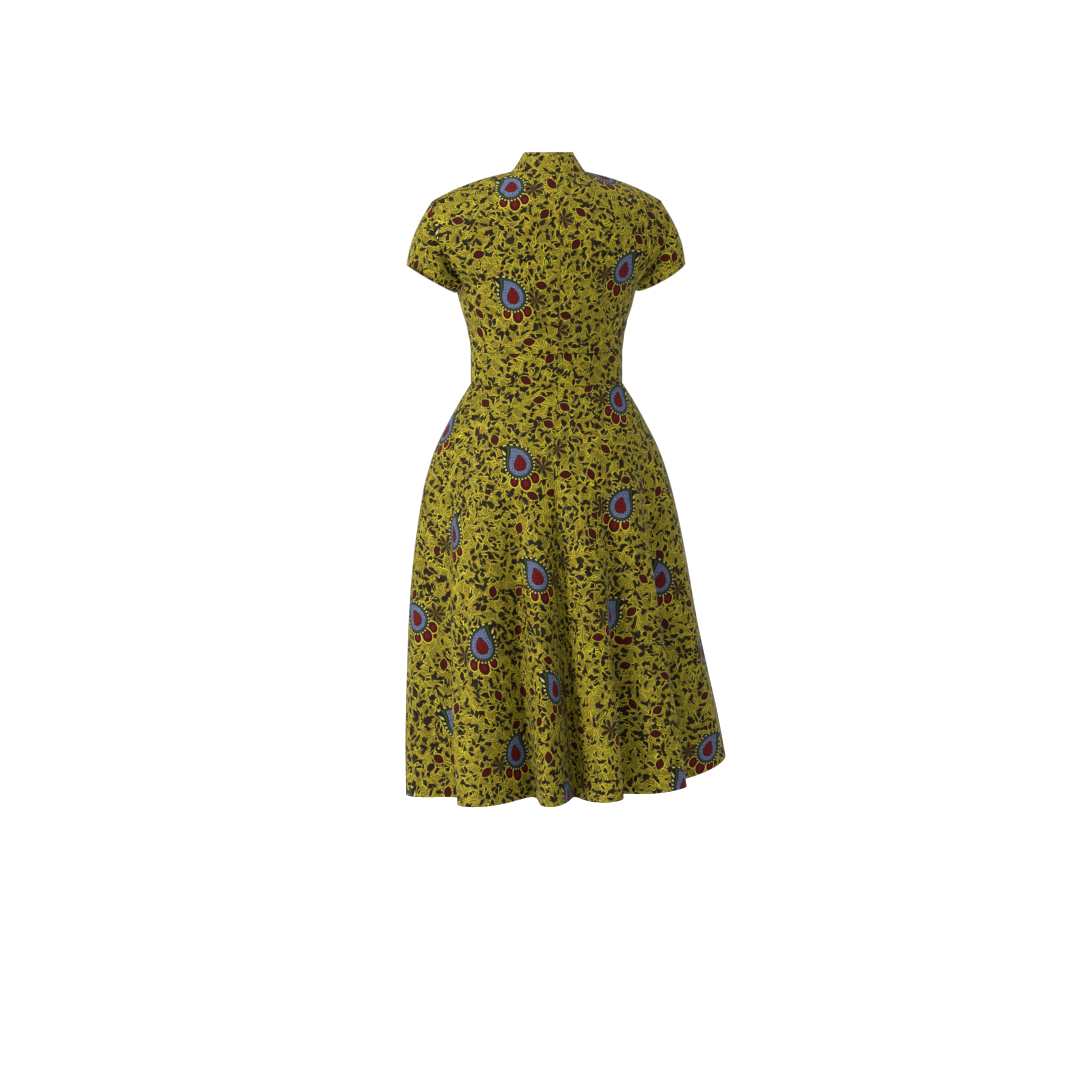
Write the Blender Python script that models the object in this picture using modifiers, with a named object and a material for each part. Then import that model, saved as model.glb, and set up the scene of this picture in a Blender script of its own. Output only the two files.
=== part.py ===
"""Ankara wax print dress: fitted bodice with a stand collar, short set-in sleeves,
an inset waistband and a flared skirt that hangs in deep flutes to below the knee.

Units are metres and +Z is up. The dress keeps the hollow form it has when worn. Its front
faces -Y, so the wearer's left is +X. The origin is the middle of the neck hole at the
height of the highest shoulder point. Each cut piece is one thin cloth wall of its own.
"""
import bpy
import numpy as np

# Cloth wall, and how far its edges stay clear of each other at the seams
CLOTH = 0.0012
SEAM_GAP = 0.0003
HALF_GAP = SEAM_GAP / 2
SHOULDER_EASE = 0.0009
ARMHOLE_EASE = 0.0008
FLUTE_EASE = 0.0003
NAPE_EASE = 0.0009
NAPE_HEIGHT = -0.070

# Neck and collar
NECK_HALF_WIDTH = 0.063
NECK_MIDDLE_Y = 0.010
NECK_BACK = 0.062
NECK_FRONT = 0.068
NECK_DROP = 0.062
COLLAR_HEIGHT = 0.033
COLLAR_LEAN_SIDE = 0.022
COLLAR_LEAN_BACK = 0.013
COLLAR_LEAN_FRONT = 0.004
COLLAR_FRONT_HEIGHT = 0.030
COLLAR_LEAN_POWER = 0.85

# Waist
WAIST_TOP = -0.305
WAIST_BOTTOM = -0.361
WAIST_HALF_WIDTH = 0.131
WAIST_BACK = 0.091
WAIST_FRONT = 0.101
SIDE_SEAM_Y = -0.002

# Shape of the bodice rows near their outer end, as shares of the way along: across, and
# towards the back or front with no wrap and added by a full wrap, and down
ROW_END_ACROSS = 0.36
ROW_END_ALONG = 0.36
ROW_END_WRAP = 0.19
ROW_END_DOWN = 0.58

# Skirt. The valleys deepen by this power of the way down, and widen as they fall
SKIRT_LENGTH = 0.712
VALLEY_POWER = 0.75
VALLEY_WIDTH_TOP = 0.9
VALLEY_WIDTH_GAIN = 0.1
LEAST_DROP = 0.3

# On the wearer's right, where the skirt swings out furthest, the hem lifts by this factor
# times the square of how far the cloth hangs beyond this distance from the middle
LIFT = 1.2
LIFT_FROM = 0.2

# Sleeve hem ring: its outer and inner corners and its half depth. Halfway down, the sleeve
# stands out by its swell all round, and by its crown as well along the top
SLEEVE_OUTER = (0.2415, -0.002, -0.157)
SLEEVE_INNER = (0.160, -0.002, -0.205)
SLEEVE_HALF_DEPTH = 0.053
SLEEVE_SWELL = 0.004
SLEEVE_CROWN = 0.005

# How finely each piece is divided
BODY_COLUMNS = 9
BODY_ROWS_PER_STEP = 2
SLEEVE_ROWS = 4
COLLAR_ROWS = 3
BAND_COLUMNS = 12
BAND_ROWS = 2
SKIRT_COLUMNS = 38
SKIRT_ROWS = 15
HANG_STEPS = 8

# Armhole seam of the wearer's left side, from the shoulder tip round the back to the
# underarm and up the front. Columns: x, y, z
ARMHOLE = (
    (0.1980, -0.003, -0.0500),
    (0.2030, 0.026, -0.0730),
    (0.2020, 0.043, -0.1020),
    (0.1890, 0.048, -0.1340),
    (0.1710, 0.040, -0.1650),
    (0.1600, 0.021, -0.1860),
    (0.1570, -0.002, -0.1940),
    (0.1600, -0.024, -0.1850),
    (0.1670, -0.041, -0.1630),
    (0.1780, -0.047, -0.1330),
    (0.1890, -0.042, -0.1020),
    (0.1960, -0.028, -0.0730),
)
ARMHOLE_STEPS = len(ARMHOLE)

# Rows of the back bodice from the waist seam up to the shoulder seam. The inner end is on
# the centre back line, or on the neck at an angle round it. The outer end is on the side
# seam, or on the armhole at a step round it. wrap is how far the row turns to face the
# side, and the lead is where it heads as it leaves its inner end.
# Columns: centre_y, centre_z, neck_angle, side_x, side_z, armhole_step, wrap, lead x, y, z
BACK_ROWS = (
    (0.091, -0.305, 0, 0.131, -0.305, 6.00, 1.00, 0.072, 0.000, 0.000),
    (0.092, -0.283, 0, 0.134, -0.283, 6.00, 1.00, 0.074, 0.000, 0.000),
    (0.096, -0.255, 0, 0.140, -0.255, 6.00, 1.00, 0.077, 0.001, 0.000),
    (0.101, -0.225, 0, 0.148, -0.227, 6.00, 1.00, 0.082, 0.002, 0.000),
    (0.105, -0.196, 0, 0.157, -0.194, 6.00, 1.00, 0.088, 0.004, 0.000),
    (0.108, -0.170, 0, 0.160, -0.186, 5.00, 0.90, 0.090, 0.005, -0.001),
    (0.109, -0.140, 0, 0.171, -0.165, 4.00, 0.74, 0.093, 0.004, -0.010),
    (0.106, -0.105, 0, 0.189, -0.134, 3.00, 0.56, 0.090, 0.006, -0.006),
    (0.100, -0.068, 0, 0.197, -0.116, 2.40, 0.44, 0.087, 0.006, -0.017),
    (0.088, -0.032, 0, 0.202, -0.092, 1.70, 0.34, 0.071, 0.010, -0.026),
    (0.072, 0.000, 0, 0.202, -0.076, 1.15, 0.26, 0.042, 0.022, -0.038),
    (0.072, 0.000, 30, 0.202, -0.067, 0.75, 0.18, 0.044, 0.012, -0.042),
    (0.072, 0.000, 60, 0.200, -0.058, 0.35, 0.10, 0.044, 0.012, -0.035),
    (0.072, 0.000, 90, 0.198, -0.050, 0.00, 0.00, 0.046, -0.003, -0.010),
)

# Rows of the front bodice, in the same columns, with the armhole counted backwards
FRONT_ROWS = (
    (-0.101, -0.305, 180, 0.131, -0.305, 6.00, 1.00, 0.072, 0.000, 0.000),
    (-0.106, -0.283, 180, 0.134, -0.283, 6.00, 1.00, 0.074, -0.003, 0.000),
    (-0.117, -0.255, 180, 0.140, -0.255, 6.00, 1.00, 0.078, -0.008, 0.000),
    (-0.126, -0.225, 180, 0.148, -0.227, 6.00, 1.00, 0.083, -0.011, 0.000),
    (-0.129, -0.196, 180, 0.157, -0.194, 6.00, 1.00, 0.088, -0.011, 0.000),
    (-0.126, -0.170, 180, 0.160, -0.185, 7.00, 0.90, 0.092, -0.004, 0.004),
    (-0.116, -0.143, 180, 0.167, -0.163, 8.00, 0.74, 0.092, -0.001, 0.001),
    (-0.100, -0.115, 180, 0.178, -0.133, 9.00, 0.56, 0.082, -0.005, -0.005),
    (-0.080, -0.087, 180, 0.187, -0.109, 9.80, 0.42, 0.074, -0.013, -0.014),
    (-0.058, -0.062, 180, 0.193, -0.085, 10.60, 0.32, 0.052, -0.039, -0.036),
    (-0.058, -0.062, 150, 0.196, -0.073, 11.00, 0.24, 0.036, -0.020, -0.023),
    (-0.058, -0.062, 126, 0.197, -0.065, 11.35, 0.16, 0.042, -0.012, -0.031),
    (-0.058, -0.062, 107, 0.198, -0.058, 11.68, 0.08, 0.042, -0.018, -0.037),
    (-0.058, -0.062, 90, 0.198, -0.050, 12.00, 0.00, 0.046, -0.003, -0.010),
)

# Outline of the skirt over the tops of its flutes, by cloth length down from the waist.
# turn carries the cloth round towards the wearer's left, in degrees. sway swings the
# section to the wearer's right, and tip is its rise on that side for each metre across.
# Columns: down, side, back, front, turn, sway, tip
SKIRT_SECTIONS = (
    (0.000, 0.131, 0.091, 0.101, 0.0, 0.0000, 0.000),
    (0.035, 0.150, 0.105, 0.110, 3.0, 0.0000, 0.000),
    (0.080, 0.172, 0.124, 0.125, 6.0, 0.0000, 0.000),
    (0.130, 0.194, 0.143, 0.141, 7.5, 0.0003, 0.001),
    (0.180, 0.210, 0.158, 0.154, 7.5, 0.0010, 0.003),
    (0.240, 0.224, 0.171, 0.166, 6.5, 0.0022, 0.006),
    (0.330, 0.240, 0.186, 0.181, 5.0, 0.0048, 0.012),
    (0.430, 0.254, 0.196, 0.195, 3.5, 0.0090, 0.020),
    (0.530, 0.267, 0.203, 0.208, 2.0, 0.0165, 0.036),
    (0.630, 0.279, 0.206, 0.220, 0.5, 0.0250, 0.053),
    (0.712, 0.285, 0.207, 0.230, 0.0, 0.0320, 0.069),
)

# Valleys between the flutes. Angles run from the centre back round by the wearer's left.
# Columns: top_angle, hem_angle, start, depth, half_width (degrees)
SKIRT_VALLEYS = (
    (30.0, 33.5, 0.170, 0.081, 6.2),
    (70.0, 73.5, 0.130, 0.071, 7.4),
    (104.0, 107.0, 0.200, 0.058, 6.2),
    (132.0, 134.0, 0.150, 0.066, 6.0),
    (159.0, 160.0, 0.190, 0.058, 5.6),
    (184.0, 184.0, 0.130, 0.072, 6.0),
    (209.0, 208.0, 0.200, 0.060, 5.6),
    (233.0, 231.0, 0.160, 0.066, 5.8),
    (256.0, 252.0, 0.220, 0.050, 5.6),
    (306.0, 296.0, 0.130, 0.084, 6.5),
    (335.0, 332.0, 0.190, 0.066, 5.8),
    (366.0, 363.5, 0.145, 0.085, 5.8),
)

# Colour, roughness and metallic value of the printed cotton
WAX_PRINT = ((0.42, 0.38, 0.05, 1.0), 0.72, 0.0)


def clear_scene():
    """Remove every object, so that the dress is the only thing in the file."""
    for thing in list(bpy.data.objects):
        bpy.data.objects.remove(thing, do_unlink=True)


def smooth(knots, values, at):
    """Monotone cubic curve through the knots, which never overshoots them."""
    knots = np.asarray(knots, float)
    values = np.asarray(values, float)
    steps = np.diff(knots)
    slopes = np.diff(values) / steps
    tangents = np.zeros_like(values)
    tangents[0] = slopes[0]
    tangents[-1] = slopes[-1]
    same_way = slopes[1:] * slopes[:-1] > 0
    before = 2 * steps[1:] + steps[:-1]
    after = steps[1:] + 2 * steps[:-1]
    with np.errstate(divide="ignore", invalid="ignore"):
        mean = (before + after) / (before / slopes[:-1] + after / slopes[1:])
    tangents[1:-1] = np.where(same_way, mean, 0.0)
    cell = np.clip(np.searchsorted(knots, at, side="right") - 1, 0, len(steps) - 1)
    width = steps[cell]
    t = (at - knots[cell]) / width
    return ((1 + 2 * t) * (1 - t) ** 2 * values[cell]
            + t * (1 - t) ** 2 * width * tangents[cell]
            + t * t * (3 - 2 * t) * values[cell + 1]
            + t * t * (t - 1) * width * tangents[cell + 1])


def neck_line(angle):
    """Point on the neck seam. 0 is the centre back, 90 the shoulder, 180 the centre front."""
    turn = np.radians(angle)
    depth = np.where(np.cos(turn) > 0, NECK_BACK, NECK_FRONT)
    past_shoulder = np.clip(90 - np.abs(angle - 180), 0, 90)
    drop = NECK_DROP * (1 - np.cos(np.radians(2 * past_shoulder))) / 2
    return np.stack([NECK_HALF_WIDTH * np.sin(turn), NECK_MIDDLE_Y + depth * np.cos(turn),
                     -drop], -1)


def armhole_line(step):
    """Point on the armhole seam: a closed Catmull-Rom curve through its table."""
    points = np.array(ARMHOLE)
    step = np.asarray(step, float) % ARMHOLE_STEPS
    first = np.floor(step).astype(int)
    t = (step - first)[..., None]
    a, b, c, d = (points[(first + k) % ARMHOLE_STEPS] for k in (-1, 0, 1, 2))
    return 0.5 * (2 * b + (c - a) * t + (2 * a - 5 * b + 4 * c - d) * t ** 2
                  + (3 * b - a - 3 * c + d) * t ** 3)


def table_curves(table):
    """Every column of a bodice table as a smooth curve over its rows."""
    table = np.array(table)
    count = len(table)
    at = np.linspace(0, count - 1, (count - 1) * BODY_ROWS_PER_STEP + 1)
    return [smooth(np.arange(count), table[:, k], at) for k in range(table.shape[1])]


def body_rows(table):
    """Half of a bodice: each row is a cubic curve from the centre or neck to the side or
    armhole. It leaves the centre squarely and, by its wrap, turns to face the side."""
    columns = table_curves(table)
    centre_y, centre_z, angle, side_x, side_z, step, wrap = columns[:7]
    centre = np.stack([np.zeros_like(centre_y), centre_y, centre_z], -1)
    inner = np.where(angle[:, None] == angle[0], centre, neck_line(angle))
    side = np.stack([side_x, np.full_like(side_x, SIDE_SEAM_Y), side_z], -1)
    outer = np.where(step[:, None] == step[0], side, armhole_line(step))
    span = outer - inner
    second = inner + np.stack(columns[7:], -1)
    shares = [ROW_END_ACROSS * (1 - wrap), ROW_END_ALONG + ROW_END_WRAP * wrap,
              np.full_like(wrap, ROW_END_DOWN)]
    third = outer - span * np.stack(shares, -1)
    t = np.linspace(0, 1, BODY_COLUMNS + 1)[None, :, None]
    return ((1 - t) ** 3 * inner[:, None] + 3 * t * (1 - t) ** 2 * second[:, None]
            + 3 * t * t * (1 - t) * third[:, None] + t ** 3 * outer[:, None])


def draw_in(grid, edge, gap):
    """Pull one edge of a grid back along the cloth by a gap."""
    here = {"first_row": (0, slice(None)), "last_row": (-1, slice(None)),
            "first_column": (slice(None), 0), "last_column": (slice(None), -1)}[edge]
    beside = {"first_row": (1, slice(None)), "last_row": (-2, slice(None)),
              "first_column": (slice(None), 1), "last_column": (slice(None), -2)}[edge]
    way = grid[beside] - grid[here]
    grid[here] = grid[here] + way / np.linalg.norm(way, axis=-1, keepdims=True) * gap
    return grid


def ring_radius(angle, side, back, front):
    """Radius of an oval section, deeper at the front than the back, at an angle round it."""
    turn = np.radians(angle)
    along = np.where(np.cos(turn) > 0, back, front)
    return 1 / np.sqrt((np.sin(turn) / side) ** 2 + (np.cos(turn) / along) ** 2)


def skirt_radius(place, down, side, back, front):
    """Distance of the cloth from the skirt's middle: the oval outline less the valleys."""
    radius = ring_radius(place, side, back, front)
    for top_angle, hem_angle, start, depth, half_width in SKIRT_VALLEYS:
        fall = np.clip((down - start) / (SKIRT_LENGTH - start), 0, 1)
        middle = top_angle + (hem_angle - top_angle) * down / SKIRT_LENGTH
        off = (place - middle + 180) % 360 - 180
        width = half_width * (VALLEY_WIDTH_TOP + VALLEY_WIDTH_GAIN * fall)
        radius = radius - depth * fall ** VALLEY_POWER * np.exp(-0.5 * (off / width) ** 2)
    return radius


def skirt_grid(first, last, columns):
    """Grid of skirt points between two seams. Each line down the cloth has the same length,
    so it drops less where it swings out further. The side it swings to hangs higher."""
    down = np.linspace(0, SKIRT_LENGTH, HANG_STEPS * SKIRT_ROWS + 1)[:, None]
    table = np.array(SKIRT_SECTIONS)
    side, back, front, turn, sway, tip = (smooth(table[:, 0], table[:, k], down)
                                          for k in range(1, 7))
    place = np.linspace(first, last, columns + 1)[None, :] + turn
    radius = skirt_radius(place, down, side, back, front)
    run = np.diff(down, axis=0)
    out = np.diff(radius, axis=0)
    drop = np.sqrt(np.maximum(run ** 2 - out ** 2, (LEAST_DROP * run) ** 2))
    height = WAIST_BOTTOM - np.vstack([np.zeros_like(radius[:1]), np.cumsum(drop, axis=0)])
    across = radius * np.sin(np.radians(place))
    along = radius * np.cos(np.radians(place))
    beyond = np.maximum(sway - across - LIFT_FROM, 0)
    height = height - across * tip + LIFT * beyond ** 2 * (down / SKIRT_LENGTH) ** 2
    points = np.stack([across - sway, along + SIDE_SEAM_Y, height], -1)
    return points[::HANG_STEPS].copy()


def band_grid(first, last, columns):
    """Upright strip of the waistband between two seams."""
    angle = np.linspace(first, last, columns + 1)
    radius = ring_radius(angle, WAIST_HALF_WIDTH, WAIST_BACK, WAIST_FRONT)
    turn = np.radians(angle)
    heights = np.linspace(WAIST_TOP, WAIST_BOTTOM, BAND_ROWS + 1)[:, None]
    grid = np.empty((BAND_ROWS + 1, columns + 1, 3))
    grid[..., 0] = radius * np.sin(turn)
    grid[..., 1] = radius * np.cos(turn) + SIDE_SEAM_Y
    grid[..., 2] = heights
    return grid


def collar_grid():
    """Strip that stands on the neck seam and leans in to the neck, open at the back. Its
    columns meet the bodice's rows along the seam."""
    stops = np.unique(np.concatenate([table_curves(BACK_ROWS)[2], table_curves(FRONT_ROWS)[2]]))
    angle = np.concatenate([stops, 360 - stops[-2::-1]])
    base = neck_line(angle)
    turn = np.radians(angle)
    front = np.clip(-np.cos(turn), 0, 1)
    lean_y = np.where(np.cos(turn) > 0, COLLAR_LEAN_BACK, COLLAR_LEAN_FRONT)
    height = COLLAR_HEIGHT + (COLLAR_FRONT_HEIGHT - COLLAR_HEIGHT) * front
    up = np.linspace(0, 1, COLLAR_ROWS + 1)[:, None]
    lean = up ** COLLAR_LEAN_POWER
    return np.stack([base[:, 0] - lean * COLLAR_LEAN_SIDE * np.sin(turn),
                     base[:, 1] - lean * lean_y * np.cos(turn),
                     base[:, 2] + up * height], -1)


def sleeve_grid():
    """Tube from the armhole seam out to the sleeve hem, top to top and back to back. Its
    columns meet the bodice's rows along the seam."""
    step = np.unique(np.concatenate([table_curves(BACK_ROWS)[5], table_curves(FRONT_ROWS)[5]]))
    step = step[step < ARMHOLE_STEPS]
    top = armhole_line(step)
    turn = 2 * np.pi * step / ARMHOLE_STEPS
    outer = np.array(SLEEVE_OUTER)
    inner = np.array(SLEEVE_INNER)
    middle = (outer + inner) / 2
    hem = middle + np.cos(turn)[:, None] * (outer - inner) / 2
    hem[:, 1] = hem[:, 1] + SLEEVE_HALF_DEPTH * np.sin(turn)
    t = np.linspace(0, 1, SLEEVE_ROWS + 1)[:, None, None]
    grid = top[None] * (1 - t) + hem[None] * t
    away = grid - (top.mean(0) * (1 - t) + middle * t)
    away = away / np.linalg.norm(away, axis=-1, keepdims=True)
    swell = SLEEVE_SWELL + SLEEVE_CROWN * np.maximum(np.cos(turn), 0)[:, None]
    return grid + away * swell * np.sin(np.pi * t)


def wax_print_material(name):
    """Printed cotton in the plain mean colour of the cloth."""
    colour, roughness, metallic = WAX_PRINT
    material = bpy.data.materials.new(name)
    material.use_nodes = True
    shader = material.node_tree.nodes["Principled BSDF"]
    shader.inputs["Base Color"].default_value = colour
    shader.inputs["Roughness"].default_value = roughness
    shader.inputs["Metallic"].default_value = metallic
    material.diffuse_color = colour
    return material


def cloth_piece(name, grid, collection, closed=False, mirrored=False):
    """Make a cloth wall from a grid of points on its outer face."""
    rows, columns = grid.shape[:2]
    corner = np.arange(rows * columns).reshape(rows, columns)
    beside = np.roll(corner, -1, axis=1)
    last = columns if closed else columns - 1
    faces = np.stack([corner[:-1, :last], beside[:-1, :last],
                      beside[1:, :last], corner[1:, :last]], -1).reshape(-1, 4)
    points = grid.reshape(-1, 3)
    corners = points[faces]
    normals = np.cross(corners[:, 2] - corners[:, 0], corners[:, 3] - corners[:, 1])
    middle = np.array([points[:, 0].mean() if closed else 0.0, SIDE_SEAM_Y, 0.0])
    outward = corners.mean(1) - middle
    outward[:, 2] = 0
    if (normals * outward).sum() < 0:
        faces = faces[:, ::-1]
    mesh = bpy.data.meshes.new(name)
    mesh.from_pydata(points.tolist(), [], faces.tolist())
    mesh.shade_smooth()
    mesh.materials.append(wax_print_material(name))
    piece = bpy.data.objects.new(name, mesh)
    collection.objects.link(piece)
    if mirrored:
        halves = piece.modifiers.new("halves", "MIRROR")
        halves.merge_threshold = 0.0001
    wall = piece.modifiers.new("wall", "SOLIDIFY")
    wall.thickness = CLOTH
    wall.offset = -1
    wall.use_even_offset = True
    return piece


def sided(grid, side):
    """The wearer's left is +1 and the right is -1."""
    return grid * np.array([side, 1, 1])


def build_bodice(collection):
    """Two back panels and a front panel, sewn at the shoulders and sides."""
    back = body_rows(BACK_ROWS)
    front = body_rows(FRONT_ROWS)
    for grid, table in ((back, BACK_ROWS), (front, FRONT_ROWS)):
        columns = table_curves(table)
        below_neck = np.count_nonzero(columns[2] == columns[2][0])
        below_armhole = np.count_nonzero(columns[5] == columns[5][0]) - 1
        draw_in(grid, "first_row", HALF_GAP)
        draw_in(grid, "last_row", SHOULDER_EASE)
        draw_in(grid[below_armhole:], "last_column", ARMHOLE_EASE)
        draw_in(grid[:below_armhole], "last_column", HALF_GAP)
        draw_in(grid[below_neck - 1:], "first_column", HALF_GAP)
        centre = grid[:below_neck, 0]
        centre[:, 0] = 0.0
        if grid is back:
            centre[:, 0] = np.where(centre[:, 2] > NAPE_HEIGHT, NAPE_EASE, HALF_GAP)
    cloth_piece("bodice_back_left", sided(back, 1), collection)
    cloth_piece("bodice_back_right", sided(back, -1), collection)
    cloth_piece("bodice_front", front, collection, mirrored=True)


def build_collar(collection):
    """One strip round the neck whose ends meet at the centre back."""
    grid = collar_grid()
    draw_in(grid, "first_row", HALF_GAP)
    grid[:, 0, 0] = HALF_GAP
    grid[:, -1, 0] = -HALF_GAP
    cloth_piece("collar", grid, collection)


def build_sleeves(collection):
    """A short sleeve on each side, closed under the arm."""
    grid = sleeve_grid()
    draw_in(grid, "first_row", ARMHOLE_EASE)
    cloth_piece("sleeve_left", sided(grid, 1), collection, closed=True)
    cloth_piece("sleeve_right", sided(grid, -1), collection, closed=True)


def build_waistband(collection):
    """The inset band: two back pieces and one front piece."""
    spans = (("waistband_back_left", 0, 90, BAND_COLUMNS),
             ("waistband_front", 90, 270, 2 * BAND_COLUMNS),
             ("waistband_back_right", 270, 360, BAND_COLUMNS))
    for name, first, last, columns in spans:
        grid = band_grid(first, last, columns)
        for edge in ("first_row", "last_row", "first_column", "last_column"):
            draw_in(grid, edge, HALF_GAP)
        cloth_piece(name, grid, collection)


def build_skirt(collection):
    """Two flared back panels and one flared front panel."""
    spans = (("skirt_back_left", 0, 90, SKIRT_COLUMNS),
             ("skirt_front", 90, 270, 2 * SKIRT_COLUMNS),
             ("skirt_back_right", 270, 360, SKIRT_COLUMNS))
    for name, first, last, columns in spans:
        grid = skirt_grid(first, last, columns)
        draw_in(grid, "first_row", HALF_GAP)
        draw_in(grid, "first_column", FLUTE_EASE)
        draw_in(grid, "last_column", FLUTE_EASE)
        cloth_piece(name, grid, collection)


def build_dress():
    """Build every cut piece of the dress in one collection."""
    clear_scene()
    dress = bpy.data.collections.new("ankara_wax_print_dress")
    bpy.context.scene.collection.children.link(dress)
    build_collar(dress)
    build_bodice(dress)
    build_sleeves(dress)
    build_waistband(dress)
    build_skirt(dress)


build_dress()
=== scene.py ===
# Ankara wax print dress: the cloth, print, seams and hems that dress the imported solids,
# with the studio round them. Units are metres, +Z is up and the front faces -Y.
from math import pi, radians, sin, cos

import bpy
import numpy as np
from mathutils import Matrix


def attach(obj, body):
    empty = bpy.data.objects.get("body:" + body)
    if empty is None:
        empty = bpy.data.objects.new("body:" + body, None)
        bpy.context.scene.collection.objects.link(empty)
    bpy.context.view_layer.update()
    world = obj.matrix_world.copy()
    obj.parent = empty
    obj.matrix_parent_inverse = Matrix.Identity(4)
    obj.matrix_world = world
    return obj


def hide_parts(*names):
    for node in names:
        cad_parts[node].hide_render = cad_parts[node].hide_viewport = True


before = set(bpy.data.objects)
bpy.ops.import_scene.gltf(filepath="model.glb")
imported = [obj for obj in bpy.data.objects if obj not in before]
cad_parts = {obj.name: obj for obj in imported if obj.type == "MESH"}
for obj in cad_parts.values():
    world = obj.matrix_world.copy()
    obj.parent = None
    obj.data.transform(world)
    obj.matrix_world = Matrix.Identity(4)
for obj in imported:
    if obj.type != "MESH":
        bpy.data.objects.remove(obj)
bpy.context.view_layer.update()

# Cloth, and the fold lines along its edges: how far each line lies into the panel from the
# seam line, and how far below the outer face
CLOTH = 0.00045
HALF_GAP = 0.00012
SEAM_FOLD = ((0.0009, 0.0), (0.0005, 0.00008), (0.0002, 0.00030), (0.0, 0.00075),
             (0.0004, 0.00110), (0.0030, 0.00120), (0.0100, 0.00120))
HEM_FOLD = ((0.0009, 0.0), (0.0004, 0.00008), (0.0001, 0.00030), (0.0, 0.00060),
            (0.0002, 0.00100), (0.0020, 0.00120), (0.0100, 0.00120), (0.0200, 0.00120))
COLLAR_FOLD = ((0.0009, 0.0), (0.0004, 0.00012), (0.0001, 0.00045), (0.0, 0.00080),
               (0.0001, 0.00115), (0.0006, 0.00150), (0.0020, 0.00160), (0.0100, 0.00160),
               (0.0190, 0.00160), (0.0280, 0.00160))

# Neck and collar
NECK_HALF_WIDTH = 0.063
NECK_MIDDLE_Y = 0.010
NECK_BACK = 0.062
NECK_FRONT = 0.068
NECK_DROP = 0.062
COLLAR_HEIGHT = 0.033
COLLAR_FRONT_HEIGHT = 0.030
COLLAR_LEAN_SIDE = 0.022
COLLAR_LEAN_BACK = 0.013
COLLAR_LEAN_FRONT = 0.004
COLLAR_LEAN_POWER = 0.85

# Waist
WAIST_TOP = -0.305
WAIST_BOTTOM = -0.361
WAIST_HALF_WIDTH = 0.131
WAIST_BACK = 0.091
WAIST_FRONT = 0.101
SIDE_SEAM_Y = -0.002

# Shape of the bodice rows near their outer end, as shares of the way along
ROW_END_ACROSS = 0.36
ROW_END_ALONG = 0.36
ROW_END_WRAP = 0.19
ROW_END_DOWN = 0.58

# Skirt
SKIRT_LENGTH = 0.712
VALLEY_POWER = 0.75
VALLEY_WIDTH_TOP = 0.9
VALLEY_WIDTH_GAIN = 0.1

# Least share of its own length that the cloth drops, however far it swings out
LEAST_DROP = 0.3

# On the wearer's right, where the skirt swings out furthest, the hem lifts by this factor
# times the square of how far the cloth hangs beyond this distance from the middle
LIFT = 1.2
LIFT_FROM = 0.2

# Sleeve hem ring: its outer and inner corners and its half depth
SLEEVE_OUTER = (0.2415, -0.002, -0.157)
SLEEVE_INNER = (0.160, -0.002, -0.205)
SLEEVE_HALF_DEPTH = 0.053
SLEEVE_SWELL = 0.004
SLEEVE_CROWN = 0.005

# Armhole seam of the wearer's left side, from the shoulder tip round the back to the
# underarm and up the front. Columns: x, y, z
ARMHOLE = (
    (0.1980, -0.003, -0.0500),
    (0.2030, 0.026, -0.0730),
    (0.2020, 0.043, -0.1020),
    (0.1890, 0.048, -0.1340),
    (0.1710, 0.040, -0.1650),
    (0.1600, 0.021, -0.1860),
    (0.1570, -0.002, -0.1940),
    (0.1600, -0.024, -0.1850),
    (0.1670, -0.041, -0.1630),
    (0.1780, -0.047, -0.1330),
    (0.1890, -0.042, -0.1020),
    (0.1960, -0.028, -0.0730),
)

# Rows of the back bodice from the waist seam up to the shoulder seam.
# Columns: centre_y, centre_z, neck_angle, side_x, side_z, armhole_step, wrap, lead x, y, z
BACK_ROWS = (
    (0.091, -0.305, 0, 0.131, -0.305, 6.00, 1.00, 0.072, 0.000, 0.000),
    (0.092, -0.283, 0, 0.134, -0.283, 6.00, 1.00, 0.074, 0.000, 0.000),
    (0.096, -0.255, 0, 0.140, -0.255, 6.00, 1.00, 0.077, 0.001, 0.000),
    (0.101, -0.225, 0, 0.148, -0.227, 6.00, 1.00, 0.082, 0.002, 0.000),
    (0.105, -0.196, 0, 0.157, -0.194, 6.00, 1.00, 0.088, 0.004, 0.000),
    (0.108, -0.170, 0, 0.160, -0.186, 5.00, 0.90, 0.090, 0.005, -0.001),
    (0.109, -0.140, 0, 0.171, -0.165, 4.00, 0.74, 0.093, 0.004, -0.010),
    (0.106, -0.105, 0, 0.189, -0.134, 3.00, 0.56, 0.090, 0.006, -0.006),
    (0.100, -0.068, 0, 0.197, -0.116, 2.40, 0.44, 0.087, 0.006, -0.017),
    (0.088, -0.032, 0, 0.202, -0.092, 1.70, 0.34, 0.071, 0.010, -0.026),
    (0.072, 0.000, 0, 0.202, -0.076, 1.15, 0.26, 0.042, 0.022, -0.038),
    (0.072, 0.000, 30, 0.202, -0.067, 0.75, 0.18, 0.044, 0.012, -0.042),
    (0.072, 0.000, 60, 0.200, -0.058, 0.35, 0.10, 0.044, 0.012, -0.035),
    (0.072, 0.000, 90, 0.198, -0.050, 0.00, 0.00, 0.046, -0.003, -0.010),
)

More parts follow.
